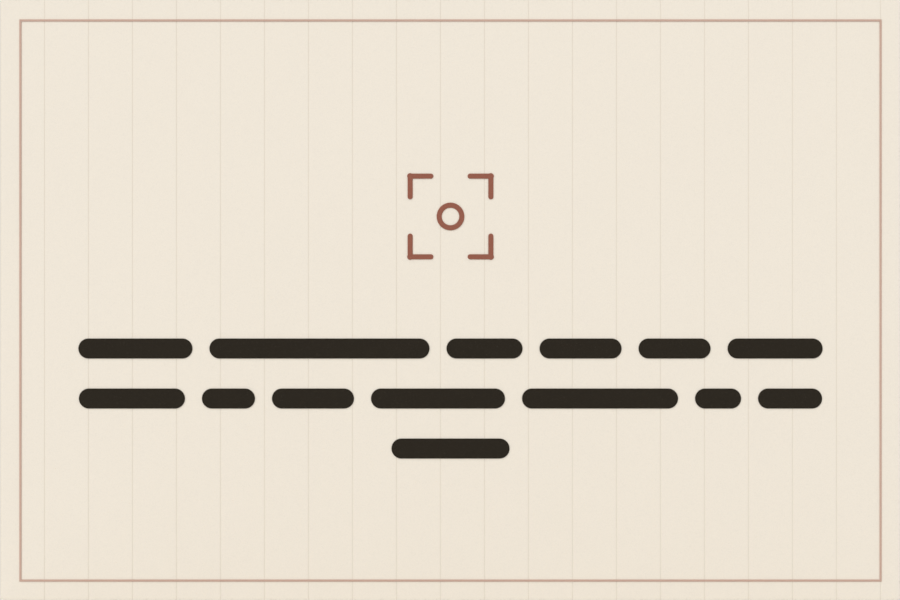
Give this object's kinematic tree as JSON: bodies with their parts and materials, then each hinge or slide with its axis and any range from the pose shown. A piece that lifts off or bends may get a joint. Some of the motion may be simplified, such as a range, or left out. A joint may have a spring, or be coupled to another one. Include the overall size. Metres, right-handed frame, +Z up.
{
  "type": "title board",
  "caption": "Landscape foam-core board that hangs flat on a wall: scored cream face, thin inset border, a focus-frame sign and centred lines of plain bars.",
  "frame": {"origin": "middle of the flat back, where the board meets the wall", "axes": "+Z up, +X to the right as the face is read, +Y out of the back into the wall; the face looks along -Y"},
  "size_m": [0.9, 0.0108, 0.6],
  "materials": {
    "face_card": "matte",
    "foam": "matte",
    "liner": "matte",
    "border_card": "matte",
    "sign_card": "matte",
    "bar_card": "matte"
  },
  "bodies": {
    "root": {"face_sheet": "face_card", "foam_core": "foam", "back_liner": "liner", "border_top": "border_card", "border_right": "border_card", "border_bottom": "border_card", "border_left": "border_card", "bracket_top_left": "sign_card", "bracket_top_right": "sign_card", "bracket_bottom_right": "sign_card", "bracket_bottom_left": "sign_card", "focus_ring": "sign_card", "line_1_bar_1": "bar_card", "line_1_bar_2": "bar_card", "line_1_bar_3": "bar_card", "line_1_bar_4": "bar_card", "line_1_bar_5": "bar_card", "line_1_bar_6": "bar_card", "line_2_bar_1": "bar_card", "line_2_bar_2": "bar_card", "line_2_bar_3": "bar_card", "line_2_bar_4": "bar_card", "line_2_bar_5": "bar_card", "line_2_bar_6": "bar_card", "line_2_bar_7": "bar_card", "line_3_bar_1": "bar_card"}
  },
  "joints": []
}
